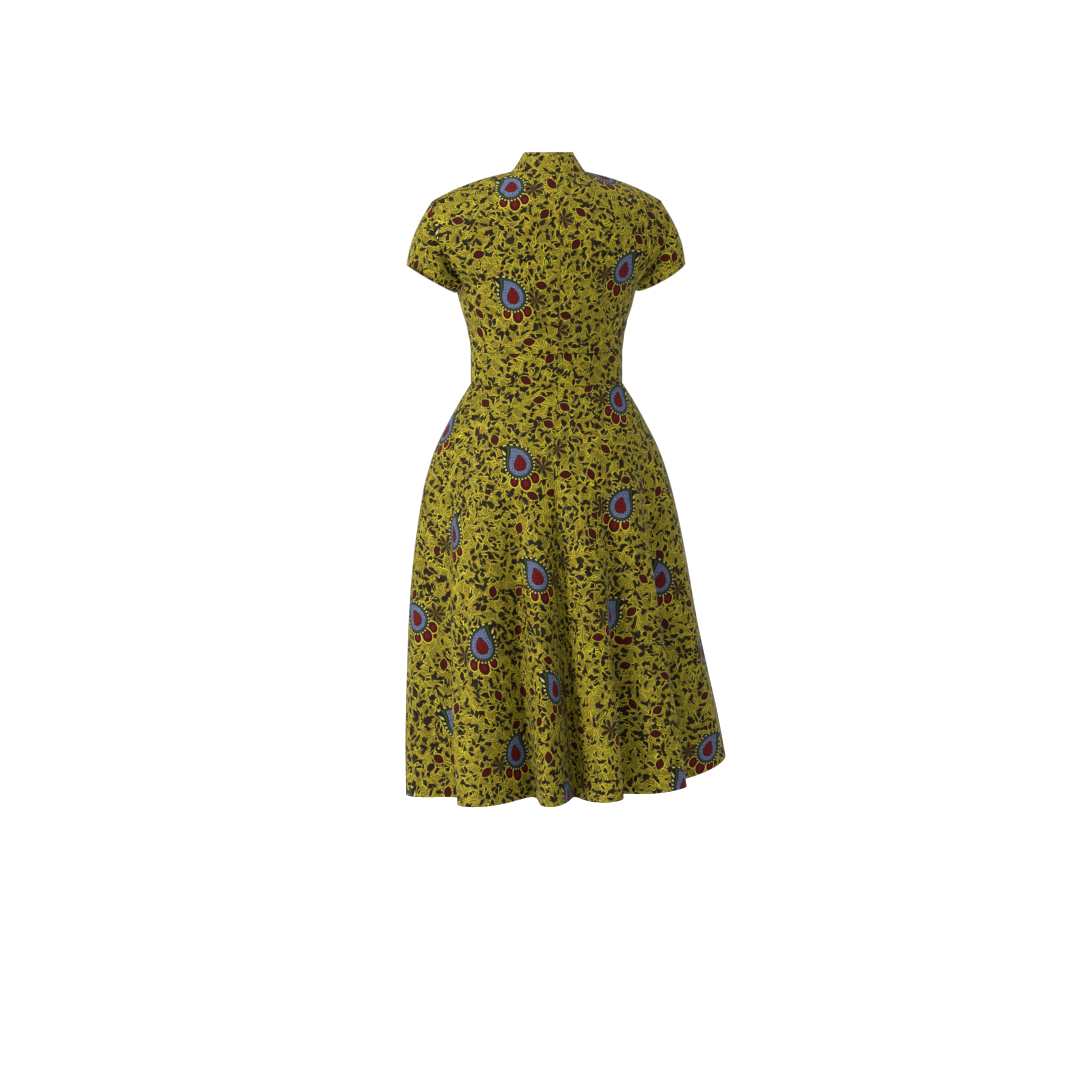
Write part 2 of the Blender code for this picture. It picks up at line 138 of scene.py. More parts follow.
# Rows of the front bodice, in the same columns, with the armhole counted backwards
FRONT_ROWS = (
    (-0.101, -0.305, 180, 0.131, -0.305, 6.00, 1.00, 0.072, 0.000, 0.000),
    (-0.106, -0.283, 180, 0.134, -0.283, 6.00, 1.00, 0.074, -0.003, 0.000),
    (-0.117, -0.255, 180, 0.140, -0.255, 6.00, 1.00, 0.078, -0.008, 0.000),
    (-0.126, -0.225, 180, 0.148, -0.227, 6.00, 1.00, 0.083, -0.011, 0.000),
    (-0.129, -0.196, 180, 0.157, -0.194, 6.00, 1.00, 0.088, -0.011, 0.000),
    (-0.126, -0.170, 180, 0.160, -0.185, 7.00, 0.90, 0.092, -0.004, 0.004),
    (-0.116, -0.143, 180, 0.167, -0.163, 8.00, 0.74, 0.092, -0.001, 0.001),
    (-0.100, -0.115, 180, 0.178, -0.133, 9.00, 0.56, 0.082, -0.005, -0.005),
    (-0.080, -0.087, 180, 0.187, -0.109, 9.80, 0.42, 0.074, -0.013, -0.014),
    (-0.058, -0.062, 180, 0.193, -0.085, 10.60, 0.32, 0.052, -0.039, -0.036),
    (-0.058, -0.062, 150, 0.196, -0.073, 11.00, 0.24, 0.036, -0.020, -0.023),
    (-0.058, -0.062, 126, 0.197, -0.065, 11.35, 0.16, 0.042, -0.012, -0.031),
    (-0.058, -0.062, 107, 0.198, -0.058, 11.68, 0.08, 0.042, -0.018, -0.037),
    (-0.058, -0.062, 90, 0.198, -0.050, 12.00, 0.00, 0.046, -0.003, -0.010),
)

# Outline of the skirt over the tops of its flutes, by cloth length down from the waist.
# Columns: down, side, back, front, turn, sway, tip
SKIRT_SECTIONS = (
    (0.000, 0.131, 0.091, 0.101, 0.0, 0.0000, 0.000),
    (0.035, 0.150, 0.105, 0.110, 3.0, 0.0000, 0.000),
    (0.080, 0.172, 0.124, 0.125, 6.0, 0.0000, 0.000),
    (0.130, 0.194, 0.143, 0.141, 7.5, 0.0003, 0.001),
    (0.180, 0.210, 0.158, 0.154, 7.5, 0.0010, 0.003),
    (0.240, 0.224, 0.171, 0.166, 6.5, 0.0022, 0.006),
    (0.330, 0.240, 0.186, 0.181, 5.0, 0.0048, 0.012),
    (0.430, 0.254, 0.196, 0.195, 3.5, 0.0090, 0.020),
    (0.530, 0.267, 0.203, 0.208, 2.0, 0.0165, 0.036),
    (0.630, 0.279, 0.206, 0.220, 0.5, 0.0250, 0.053),
    (0.712, 0.285, 0.207, 0.230, 0.0, 0.0320, 0.069),
)

# Valleys between the flutes, in degrees from the centre back round by the wearer's left.
# Columns: top_angle, hem_angle, start, depth, half_width
SKIRT_VALLEYS = (
    (30.0, 33.5, 0.170, 0.081, 6.2),
    (70.0, 73.5, 0.130, 0.071, 7.4),
    (104.0, 107.0, 0.200, 0.058, 6.2),
    (132.0, 134.0, 0.150, 0.066, 6.0),
    (159.0, 160.0, 0.190, 0.058, 5.6),
    (184.0, 184.0, 0.130, 0.072, 6.0),
    (209.0, 208.0, 0.200, 0.060, 5.6),
    (233.0, 231.0, 0.160, 0.066, 5.8),
    (256.0, 252.0, 0.220, 0.050, 5.6),
    (306.0, 296.0, 0.130, 0.084, 6.5),
    (335.0, 332.0, 0.190, 0.066, 5.8),
    (366.0, 363.5, 0.145, 0.085, 5.8),
)

# Small dips and swells that lie over the flutes, in the same angles.
# Columns: top_angle, hem_angle, begins, ends, depth, half_width
SKIRT_RIPPLES = (
    (30.0, 33.5, 0.120, 0.760, 0.0050, 2.3),
    (70.0, 73.5, 0.080, 0.760, 0.0045, 2.6),
    (366.0, 363.5, 0.100, 0.760, 0.0050, 2.3),
    (335.0, 332.0, 0.130, 0.760, 0.0050, 2.3),
    (306.0, 296.0, 0.090, 0.760, 0.0050, 2.5),
    (14.0, 20.0, 0.020, 0.420, 0.0022, 3.0),
    (24.0, 22.0, 0.300, 0.760, 0.0050, 2.4),
    (52.0, 55.0, 0.180, 0.760, 0.0070, 2.8),
    (60.0, 58.0, 0.030, 0.260, 0.0024, 3.4),
    (88.0, 90.0, 0.300, 0.760, 0.0050, 2.6),
    (104.0, 107.0, 0.150, 0.760, 0.0060, 2.8),
    (119.0, 120.0, 0.260, 0.760, 0.0044, 2.6),
    (132.0, 134.0, 0.120, 0.760, 0.0070, 2.8),
    (146.0, 147.0, 0.340, 0.760, 0.0040, 2.4),
    (159.0, 160.0, 0.150, 0.760, 0.0060, 2.6),
    (171.0, 173.0, 0.300, 0.760, 0.0046, 2.6),
    (184.0, 184.0, 0.100, 0.760, 0.0075, 2.8),
    (197.0, 195.0, 0.380, 0.760, 0.0040, 2.4),
    (209.0, 208.0, 0.160, 0.760, 0.0060, 2.6),
    (221.0, 219.0, 0.280, 0.760, 0.0046, 2.6),
    (233.0, 231.0, 0.120, 0.760, 0.0070, 2.8),
    (245.0, 242.0, 0.330, 0.760, 0.0040, 2.4),
    (283.0, 277.0, 0.200, 0.760, 0.0065, 3.0),
    (296.0, 290.0, 0.040, 0.320, 0.0026, 3.0),
    (324.0, 316.0, 0.240, 0.760, 0.0055, 2.4),
    (331.0, 326.0, 0.050, 0.240, 0.0020, 3.0),
    (352.0, 348.0, 0.300, 0.760, 0.0050, 2.4),
)

# Soft troughs (+) and ridges (-) worn into the back, seen from behind in x and z.
# Columns: x and z of one end, x and z of the other, bow, depth, half_width
BACK_CREASES = (
    (0.148, -0.188, 0.100, -0.118, 0.006, 0.0022, 0.0080),
    (0.150, -0.206, 0.088, -0.170, 0.005, 0.0018, 0.0070),
    (0.137, -0.262, 0.062, -0.236, 0.005, 0.0022, 0.0075),
    (0.131, -0.288, 0.050, -0.274, 0.004, 0.0020, 0.0060),
    (0.070, -0.296, 0.006, -0.268, -0.004, 0.0014, 0.0065),
    (-0.148, -0.186, -0.104, -0.108, -0.006, 0.0024, 0.0080),
    (-0.149, -0.210, -0.080, -0.182, -0.005, 0.0018, 0.0070),
    (-0.138, -0.252, -0.050, -0.216, -0.006, 0.0026, 0.0080),
    (-0.134, -0.276, -0.044, -0.252, -0.005, 0.0022, 0.0070),
    (-0.120, -0.296, -0.030, -0.284, 0.003, 0.0016, 0.0060),
    (0.020, -0.020, 0.100, -0.048, 0.004, 0.0014, 0.0080),
    (-0.020, -0.022, -0.094, -0.054, -0.004, 0.0014, 0.0080),
)
FRONT_CREASES = (
    (0.148, -0.188, 0.096, -0.130, 0.006, 0.0022, 0.0080),
    (0.138, -0.262, 0.070, -0.282, 0.004, 0.0018, 0.0070),
    (0.132, -0.290, 0.036, -0.270, 0.004, 0.0018, 0.0065),
    (-0.150, -0.190, -0.100, -0.124, -0.006, 0.0022, 0.0080),
    (-0.140, -0.256, -0.060, -0.278, -0.004, 0.0020, 0.0070),
    (-0.128, -0.292, -0.050, -0.262, -0.004, 0.0016, 0.0060),
    (0.060, -0.100, -0.060, -0.104, 0.010, 0.0010, 0.0120),
)

# Darts, as lines of x and z from the waist up: sewn folds that end in a point
BACK_DARTS = ((0.066, -0.305, 0.072, -0.190), (-0.066, -0.305, -0.072, -0.190))
FRONT_DARTS = ((0.062, -0.305, 0.074, -0.218), (-0.062, -0.305, -0.074, -0.218))
DART_DEPTH = 0.0011
DART_HALF_WIDTH = 0.0011

# Folds of the sleeves: armhole steps and share of the way to the hem.
# Columns: step and share of one end, step and share of the other, bow, depth, half_width
SLEEVE_CREASES = (
    (2.6, 0.05, 1.4, 0.80, 0.0, 0.0020, 0.34),
    (4.2, 0.05, 3.2, 0.95, 0.0, 0.0026, 0.36),
    (9.6, 0.05, 10.6, 0.85, 0.0, 0.0022, 0.36),
    (8.0, 0.05, 8.8, 0.95, 0.0, 0.0026, 0.36),
)

# How finely each piece is divided, and the finer steps in which the skirt is hung
BODY_COLUMNS = 54
BODY_ROWS_PER_STEP = 6
SLEEVE_ROWS = 40
SLEEVE_COLUMNS = 132
COLLAR_ROWS = 12
COLLAR_COLUMNS = 200
BAND_COLUMNS = 96
BAND_ROWS = 20
SKIRT_COLUMNS = 116
SKIRT_ROWS = 148
HANG_STEPS = 2

# Where each panel was laid on the printed cloth, so that the print doesn't run on over seams
LAID_AT = {
    "collar": (0.31, 0.07),
    "bodice_back_left": (0.000, 0.000),
    "bodice_back_right": (0.037, 0.052),
    "bodice_front": (0.62, 0.21),
    "sleeve_left": (1.13, 0.15),
    "sleeve_right": (1.42, 0.08),
    "waistband_back_left": (0.052, 0.021),
    "waistband_back_right": (0.081, 0.034),
    "waistband_front": (0.43, 0.11),
    "skirt_back_left": (0.019, 0.043),
    "skirt_back_right": (0.044, 0.012),
    "skirt_front": (2.15, 0.32),
}

# Colours of the print, as red, green and blue on a screen
LEAF_OLIVE = (98, 89, 18)
LEAF_YELLOW = (119, 105, 17)
LEAF_LINE = (152, 141, 34)
LEAF_TAN = (48, 40, 14)
GROUND_BROWN = (22, 11, 6)
GROUND_GREEN = (23, 24, 12)
MAROON = (44, 5, 6)
RED = (72, 8, 7)
LAVENDER = (46, 54, 74)
LAVENDER_DOT = (92, 100, 128)
PALE_DOT = (138, 136, 76)
LINE_GREEN = (34, 50, 18)

# Leaves of the print, in millimetres: rounded cells below, parted by dark veins, and pointed
# petals above. Columns of the petals: pitch, shift, half_length, half_width, share that shows
CELL_PITCH = 19.0
VEIN_WIDE = 0.55
PETALS = (22.0, 0.0, 11.5, 6.4, 0.60)

# Dark gaps between the leaves, and how one end is blunter than the other.
# Columns: pitch, shift, half_length, half_width, bend, share that shows
GAPS = (
    (14.5, 31.0, 7.2, 3.1, 0.11, 0.80),
    (16.5, 73.0, 6.8, 3.6, 0.14, 0.62),
    (13.5, 11.0, 5.2, 2.2, 0.20, 0.40),
)
GAP_BLUNT = 0.6
GAP_LINED = 0.62
LINE_WIDE = 0.8
DOT_PITCH = 2.5
DOT_REACH = 0.40
DOT_STRENGTH = 0.80

# How far the leaves are pushed out of true, over patches of a size
WARP_SIZE = 20.0
WARP_REACH = 12.0

# Maroon drops: their spacing, half length, half width and the share that is left out
DROP_PITCH = 54.0
DROP_HALF_LENGTH = 11.5
DROP_HALF_WIDTH = 7.4
DROP_LEFT_OUT = 0.5

# Surface of the cotton: spacing of its threads in millimetres, depths of weave and crumple
# in metres, and how much the worn patches darken it
THREAD_PITCH = 0.9
WEAVE_DEEP = 0.00003
CRUMPLE_SIZE = 9.0
CRUMPLE_DEEP = 0.0005
WORN_SIZE = 60.0
WORN_DARK = 0.16
COTTON_ROUGH = 0.66
COTTON_SHEEN = 0.02
COTTON_SPECULAR = 0.05


def colour(screen):
    """Scene colour of a screen colour: each part is raised by the screen's own curve."""
    part = np.array(screen) / 255
    linear = np.where(part <= 0.04045, part / 12.92, ((part + 0.055) / 1.055) ** 2.4)
    return (*linear, 1.0)


def unit(vectors):
    """Vectors at length one."""
    return vectors / np.maximum(np.linalg.norm(vectors, axis=-1, keepdims=True), 1e-12)


def smooth(knots, values, at):
    """Monotone cubic curve through the knots, which never overshoots them."""
    knots = np.asarray(knots, float)
    values = np.asarray(values, float)
    steps = np.diff(knots)
    slopes = np.diff(values) / steps
    tangents = np.zeros_like(values)
    tangents[0] = slopes[0]
    tangents[-1] = slopes[-1]
    same_way = slopes[1:] * slopes[:-1] > 0
    before = 2 * steps[1:] + steps[:-1]
    after = steps[1:] + 2 * steps[:-1]
    with np.errstate(divide="ignore", invalid="ignore"):
        mean = (before + after) / (before / slopes[:-1] + after / slopes[1:])
    tangents[1:-1] = np.where(same_way, mean, 0.0)
    cell = np.clip(np.searchsorted(knots, at, side="right") - 1, 0, len(steps) - 1)
    width = steps[cell]
    t = (at - knots[cell]) / width
    return ((1 + 2 * t) * (1 - t) ** 2 * values[cell]
            + t * (1 - t) ** 2 * width * tangents[cell]
            + t * t * (3 - 2 * t) * values[cell + 1]
            + t * t * (t - 1) * width * tangents[cell + 1])


def neck_line(angle):
    """Neck seam: an oval in plan, 0 at the centre back and 180 at the centre front, that
    falls by half a cosine wave from the shoulders to the front."""
    turn = np.radians(angle)
    depth = np.where(np.cos(turn) > 0, NECK_BACK, NECK_FRONT)
    past_shoulder = np.clip(90 - np.abs(angle - 180), 0, 90)
    drop = NECK_DROP * (1 - np.cos(np.radians(2 * past_shoulder))) / 2
    return np.stack([NECK_HALF_WIDTH * np.sin(turn), NECK_MIDDLE_Y + depth * np.cos(turn),
                     -drop], -1)


def armhole_line(step):
    """Armhole seam: a closed Catmull-Rom curve through its table."""
    points = np.array(ARMHOLE)
    count = len(ARMHOLE)
    step = np.asarray(step, float) % count
    first = np.floor(step).astype(int)
    t = (step - first)[..., None]
    a, b, c, d = (points[(first + k) % count] for k in (-1, 0, 1, 2))
    return 0.5 * (2 * b + (c - a) * t + (2 * a - 5 * b + 4 * c - d) * t ** 2
                  + (3 * b - a - 3 * c + d) * t ** 3)


def table_curves(table):
    """Every column of a bodice table as a smooth curve over its rows."""
    table = np.array(table)
    count = len(table)
    at = np.linspace(0, count - 1, (count - 1) * BODY_ROWS_PER_STEP + 1)
    return [smooth(np.arange(count), table[:, k], at) for k in range(table.shape[1])]


def body_rows(table):
    """Half of a bodice: each row is a cubic curve from the centre or neck to the side or
    armhole. It leaves the centre squarely and, by its wrap, turns to face the side."""
    columns = table_curves(table)
    centre_y, centre_z, angle, side_x, side_z, step, wrap = columns[:7]
    centre = np.stack([np.zeros_like(centre_y), centre_y, centre_z], -1)
    inner = np.where(np.isclose(angle, angle[0])[:, None], centre, neck_line(angle))
    side = np.stack([side_x, np.full_like(side_x, SIDE_SEAM_Y), side_z], -1)
    outer = np.where(np.isclose(step, step[0])[:, None], side, armhole_line(step))
    span = outer - inner
    second = inner + np.stack(columns[7:], -1)
    shares = [ROW_END_ACROSS * (1 - wrap), ROW_END_ALONG + ROW_END_WRAP * wrap,
              np.full_like(wrap, ROW_END_DOWN)]
    third = outer - span * np.stack(shares, -1)
    t = np.linspace(0, 1, BODY_COLUMNS + 1)[None, :, None]
    return ((1 - t) ** 3 * inner[:, None] + 3 * t * (1 - t) ** 2 * second[:, None]
            + 3 * t * t * (1 - t) * third[:, None] + t ** 3 * outer[:, None])


def ring_radius(angle, side, back, front):
    """Radius of an oval section, deeper at the front than the back, at an angle round it."""
    turn = np.radians(angle)
    along = np.where(np.cos(turn) > 0, back, front)
    return 1 / np.sqrt((np.sin(turn) / side) ** 2 + (np.cos(turn) / along) ** 2)


def skirt_radius(place, down, side, back, front):
    """Distance of the cloth from the skirt's middle: the oval outline less the valleys,
    each a bell curve across that deepens by a power of the way down, and the ripples."""
    radius = ring_radius(place, side, back, front)
    for top_angle, hem_angle, start, depth, half_width in SKIRT_VALLEYS:
        fall = np.clip((down - start) / (SKIRT_LENGTH - start), 0, 1)
        middle = top_angle + (hem_angle - top_angle) * down / SKIRT_LENGTH
        off = (place - middle + 180) % 360 - 180
        width = half_width * (VALLEY_WIDTH_TOP + VALLEY_WIDTH_GAIN * fall)
        radius = radius - depth * fall ** VALLEY_POWER * np.exp(-0.5 * (off / width) ** 2)
    for top_angle, hem_angle, begins, ends, depth, half_width in SKIRT_RIPPLES:
        share = np.clip((down - begins) / (ends - begins), 0, 1)
        middle = top_angle + (hem_angle - top_angle) * down / SKIRT_LENGTH
        off = (place - middle + 180) % 360 - 180
        radius = radius - depth * np.sin(pi * share) ** 2 * np.exp(-0.5 * (off / half_width) ** 2)
    return radius


def skirt_grid(first, last, columns):
    """Grid of skirt points between two seams. Each line down the cloth has the same length,
    so it drops less where it swings out further. The side it swings to hangs higher."""
    down = np.linspace(0, SKIRT_LENGTH, HANG_STEPS * SKIRT_ROWS + 1)[:, None]
    table = np.array(SKIRT_SECTIONS)
    side, back, front, turn, sway, tip = (smooth(table[:, 0], table[:, k], down)
                                          for k in range(1, 7))
    place = np.linspace(first, last, columns + 1)[None, :] + turn
    radius = skirt_radius(place, down, side, back, front)
    run = np.diff(down, axis=0)
    out = np.diff(radius, axis=0)
    drop = np.sqrt(np.maximum(run ** 2 - out ** 2, (LEAST_DROP * run) ** 2))
    height = WAIST_BOTTOM - np.vstack([np.zeros_like(radius[:1]), np.cumsum(drop, axis=0)])
    across = radius * np.sin(np.radians(place))
    along = radius * np.cos(np.radians(place))
    beyond = np.maximum(sway - across - LIFT_FROM, 0)
    height = height - across * tip + LIFT * beyond ** 2 * (down / SKIRT_LENGTH) ** 2
    points = np.stack([across - sway, along + SIDE_SEAM_Y, height], -1)
    return points[::HANG_STEPS].copy()


def run_across(grid):
    """Length of the cloth across each row, from its first column to each other one."""
    steps = np.linalg.norm(np.diff(grid, axis=1), axis=-1)
    return np.hstack([np.zeros((len(grid), 1)), np.cumsum(steps, axis=1)])


def skirt_flat(grid, centre):
    """Flat cut of a skirt panel: a piece of a ring whose middle line, at the column centre,
    hangs on the straight grain. Each point keeps its length down the cloth and its length
    round from the middle line."""
    rows = len(grid)
    down = np.linspace(0, SKIRT_LENGTH, rows)[:, None]
    around = run_across(grid)
    around = around - around[:, [centre]]
    width = around[:, -1] - around[:, 0]
    inner = width[0] * SKIRT_LENGTH / (width[-1] - width[0])
    turn = around / (inner + down)
    return np.stack([(inner + down) * np.sin(turn), inner - (inner + down) * np.cos(turn)], -1)


def band_grid(first, last, columns):
    """Upright strip of the waistband between two seams."""
    angle = np.linspace(first, last, columns + 1)
    radius = ring_radius(angle, WAIST_HALF_WIDTH, WAIST_BACK, WAIST_FRONT)
    turn = np.radians(angle)
    grid = np.empty((BAND_ROWS + 1, columns + 1, 3))
    grid[..., 0] = radius * np.sin(turn)
    grid[..., 1] = radius * np.cos(turn) + SIDE_SEAM_Y
    grid[..., 2] = np.linspace(WAIST_TOP, WAIST_BOTTOM, BAND_ROWS + 1)[:, None]
    return grid


def collar_grid():
    """Strip that stands on the neck seam and leans in to the neck, open at the back."""
    angle = np.linspace(0, 360, COLLAR_COLUMNS + 1)
    base = neck_line(angle)
    turn = np.radians(angle)
    front = np.clip(-np.cos(turn), 0, 1)
    lean_y = np.where(np.cos(turn) > 0, COLLAR_LEAN_BACK, COLLAR_LEAN_FRONT)
    height = COLLAR_HEIGHT + (COLLAR_FRONT_HEIGHT - COLLAR_HEIGHT) * front
    up = np.linspace(0, 1, COLLAR_ROWS + 1)[:, None]
    lean = up ** COLLAR_LEAN_POWER
    return np.stack([base[:, 0] - lean * COLLAR_LEAN_SIDE * np.sin(turn),
                     base[:, 1] - lean * lean_y * np.cos(turn),
                     base[:, 2] + up * height], -1)


def sleeve_steps():
    """Armhole steps of the sleeve's columns, from the underarm seam round to itself."""
    return np.linspace(6, 18, SLEEVE_COLUMNS + 1)


def sleeve_grid():
    """Sleeve from the armhole seam out to its hem ring, top to top and back to back, swelled
    a little halfway."""
    step = sleeve_steps()
    top = armhole_line(step)
    turn = 2 * pi * step / len(ARMHOLE)
    outer = np.array(SLEEVE_OUTER)
    inner = np.array(SLEEVE_INNER)
    middle = (outer + inner) / 2
    hem = middle + np.cos(turn)[:, None] * (outer - inner) / 2
    hem[:, 1] = hem[:, 1] + SLEEVE_HALF_DEPTH * np.sin(turn)
    t = np.linspace(0, 1, SLEEVE_ROWS + 1)[:, None, None]
    grid = top[None] * (1 - t) + hem[None] * t
    away = unit(grid - (top.mean(0) * (1 - t) + middle * t))
    swell = SLEEVE_SWELL + SLEEVE_CROWN * np.maximum(np.cos(turn), 0)[:, None]
    return grid + away * swell * np.sin(pi * t)


def outward(grid, tube=False):
    """Unit directions out of the cloth, and whether the grid's own faces point inwards."""
    normal = unit(np.cross(np.gradient(grid, axis=1), np.gradient(grid, axis=0)))
    middle = grid.mean(axis=1, keepdims=True) if tube else np.array([0, SIDE_SEAM_Y, 0])
    away = grid - middle
    if not tube:
        away[..., 2] = 0
    inwards = (normal * away).sum() < 0
    return (-normal if inwards else normal), inwards


def beside_line(across, up, x0, z0, x1, z1):
    """Share of the way along a line and distance to its side, at points of a plane."""
    way = np.array([x1 - x0, z1 - z0])
    length = np.hypot(*way)
    way = way / length
    t = ((across - x0) * way[0] + (up - z0) * way[1]) / length
    return t, (across - x0) * way[1] - (up - z0) * way[0]


def lines_depth(across, up, lines):
    """Depth of soft creases at points of a plane. Each runs from one end to the other, bows
    sideways by its bow, is a bell curve across and fades out at its ends."""
    total = np.zeros_like(across)
    for *line, bow, depth, half_width in lines:
        t, off = beside_line(across, up, *line)
        inside = np.clip(t, 0, 1)
        fade = np.sin(pi * np.clip(0.12 + 0.88 * t, 0, 1)) * (t > -0.14) * (t < 1)
        off = off - bow * 4 * inside * (1 - inside)
        total = total + depth * fade * np.exp(-(off / half_width) ** 2)
    return total


def darts_depth(across, up, darts):
    """Depth of sewn darts: a narrow groove that fades out at the dart's point."""
    total = np.zeros_like(across)
    for line in darts:
        t, off = beside_line(across, up, *line)
        fade = np.clip((1 - t) * 5, 0, 1) * (t > -0.05)
        total = total + DART_DEPTH * fade * np.exp(-(off / DART_HALF_WIDTH) ** 2)
    return total


def pull_in(grid, edge):
    """Bring one edge back along the cloth by half the gap of a seam."""
    here = {"first_row": (0, slice(None)), "last_row": (-1, slice(None)),
            "first_column": (slice(None), 0), "last_column": (slice(None), -1)}[edge]
    beside = {"first_row": (1, slice(None)), "last_row": (-2, slice(None)),
              "first_column": (slice(None), 1), "last_column": (slice(None), -2)}[edge]
    grid[here] = grid[here] + unit(grid[beside] - grid[here]) * HALF_GAP


def lay_flat(grid, start, rounds=1500):
    """Lay a panel flat: every link between neighbours on a coarse net pulls back to its
    length on the worn form, again and again, until the net rests."""
    flat = start.copy()
    links = ((0, 1), (1, 0), (1, 1), (1, -1))
    ends = []
    for down, across in links:
        a = (slice(0, flat.shape[0] - down), slice(max(0, -across), flat.shape[1] - max(0, across)))
        b = (slice(down, flat.shape[0]), slice(max(0, across), flat.shape[1] + min(0, across)))
        ends.append((a, b, np.linalg.norm(grid[b] - grid[a], axis=-1, keepdims=True)))
    count = np.zeros(flat.shape[:2] + (1,))
    for a, b, _ in ends:
        count[a] += 1
        count[b] += 1
    for _ in range(rounds):
        move = np.zeros_like(flat)
        for a, b, length in ends:
            link = flat[b] - flat[a]
            now = np.maximum(np.linalg.norm(link, axis=-1, keepdims=True), 1e-9)
            pull = link * (0.5 - 0.5 * length / now)
            move[a] += pull
            move[b] -= pull
        flat = flat + 1.2 * move / count
    return flat


def spread(coarse, rows, columns):
    """Values of a coarse net over a finer one with the same corners, along straight lines."""
    r = np.linspace(0, coarse.shape[0] - 1, rows)
    c = np.linspace(0, coarse.shape[1] - 1, columns)
    i = np.minimum(r.astype(int), coarse.shape[0] - 2)
    j = np.minimum(c.astype(int), coarse.shape[1] - 2)
    a = (r - i)[:, None, None]
    b = (c - j)[None, :, None]
    corner = [coarse[i + p][:, j + q] for p in (0, 1) for q in (0, 1)]
    return ((1 - a) * (1 - b) * corner[0] + (1 - a) * b * corner[1]
            + a * (1 - b) * corner[2] + a * b * corner[3])


def body_flat(grid, sign):
    """Flat cut of half a bodice with its centre line on the straight grain. The start takes
    each row's length across, and rises along the centre and then with the neck."""
    coarse = grid[::3, ::6]
    across = run_across(coarse) + coarse[:, :1, 0]
    first = coarse[:, 0]
    centre = np.abs(first[:, 0]) < 1e-6
    rise = np.concatenate([[0.0], np.cumsum(np.linalg.norm(np.diff(first, axis=0), axis=-1))])
    top = rise[centre].max()
    corner = first[centre][-1]
    past = top + np.abs(first[:, 1] - corner[1]) + (first[:, 2] - corner[2])
    up = np.where(centre, rise, past)[:, None] + coarse[..., 2] - coarse[:, :1, 2]
    flat = lay_flat(coarse, np.stack([across, up], -1))
    line = flat[np.count_nonzero(centre) - 1, 0] - flat[0, 0]
    turn = np.arctan2(line[0], line[1])
    spin = np.array([[cos(turn), sin(turn)], [-sin(turn), cos(turn)]])
    flat = (flat - flat[0, 0]) @ spin
    return spread(flat, *grid.shape[:2]) * np.array([sign, 1])


def strip_flat(grid, rounds=1500, step=4):
    """Flat cut of a strip or sleeve: lengths round from its middle column and down it."""
    coarse = grid[::step, ::step]
    across = run_across(coarse)
    middle = coarse.shape[1] // 2
    across = across - across[:, [middle]]
    along = np.linalg.norm(np.diff(coarse[:, middle], axis=0), axis=-1)
    down = -np.concatenate([[0.0], np.cumsum(along)])[:, None] * np.ones_like(across)
    flat = lay_flat(coarse, np.stack([across, down], -1), rounds)
    return spread(flat, *grid.shape[:2])


def turn_under(cloth, edge, fold):
    """Carry one side of a panel round its fold. Each line of the fold lies into the panel
    from the edge, and below the outer face, by the fold's two columns. The flat cut runs
    straight on by the length of the fold."""
    sideways = edge.endswith("column")
    start = edge.startswith("first")
    points, normals, flat = ((a.swapaxes(0, 1) if sideways else a) for a in cloth)
    if start:
        points, normals, flat = points[::-1], normals[::-1], flat[::-1]
    into, depth = np.array(fold).T
    run = np.concatenate([[0.0], np.cumsum(np.hypot(np.diff(into), np.diff(depth)))]) - into[0]
    way = unit(points[-2] - points[-1])
    on = unit(flat[-1] - flat[-2])
    lines = (points[-1] + into[:, None, None] * way
             - depth[:, None, None] * normals[-1])
    points = np.concatenate([points[:-1], lines])
    normals = np.concatenate([normals[:-1], np.repeat(normals[-1:], len(fold), 0)])
    flat = np.concatenate([flat[:-1], flat[-1] + run[:, None, None] * on])
    if start:
        points, normals, flat = points[::-1], normals[::-1], flat[::-1]
    return tuple((a.swapaxes(0, 1) if sideways else a) for a in (points, normals, flat))


def placed(name, data):
    """A new object of the scene."""
    thing = bpy.data.objects.new(name, data)
    bpy.context.scene.collection.objects.link(thing)
    return thing


def cloth_mesh(name, patches, material):
    """One mesh from grids of points that share their edge points. Each patch is its points,
    its flat cut and whether its faces are turned over."""
    points, flats, faces = [], [], []
    count = 0
    for grid, flat, over in patches:
        rows, columns = grid.shape[:2]
        corner = np.arange(rows * columns).reshape(rows, columns) + count
        quads = np.stack([corner[:-1, :-1], corner[:-1, 1:], corner[1:, 1:], corner[1:, :-1]], -1)
        quads = quads.reshape(-1, 4)
        faces.append(quads[:, ::-1] if over else quads)
        points.append(grid.reshape(-1, 3))
        flats.append(flat.reshape(-1, 2))
        count += rows * columns
    points = np.concatenate(points)
    flats = np.concatenate(flats)
    faces = np.concatenate(faces)
    _, kept, where = np.unique(np.round(points / 1e-6).astype(int), axis=0,
                               return_index=True, return_inverse=True)
    mesh = bpy.data.meshes.new(name)
    mesh.from_pydata(points[kept].tolist(), [], where.reshape(-1)[faces].tolist())
    layer = mesh.uv_layers.new(name="cut")
    layer.data.foreach_set("uv", flats[faces.reshape(-1)].astype(np.float32).ravel())
    mesh.shade_smooth()
    mesh.materials.append(material)
    return placed(name, mesh)


def flat_area(flat):
    """Area of a flat cut: the sum of half the cross products of its quads' diagonals."""
    a = flat[1:, 1:] - flat[:-1, :-1]
    b = flat[1:, :-1] - flat[:-1, 1:]
    return np.abs(a[..., 0] * b[..., 1] - a[..., 1] * b[..., 0]).sum() / 2


def dress_piece(node, patches, material):
    """A thin cloth shell in place of a solid, mapped by the flat cut of the sheet that it was cut
    from.
    """
    laid = np.array(LAID_AT[node])
    area = sum(flat_area(flat) for _, flat, _ in patches)
    patches = [(points, flat + laid, over) for points, flat, over in patches]
    piece = cloth_mesh(node + "_cloth", patches, material)
    wall = piece.modifiers.new("cloth", "SOLIDIFY")
    wall.thickness = CLOTH
    wall.offset = -1
    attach(piece, "root")
    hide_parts(node)
    return piece


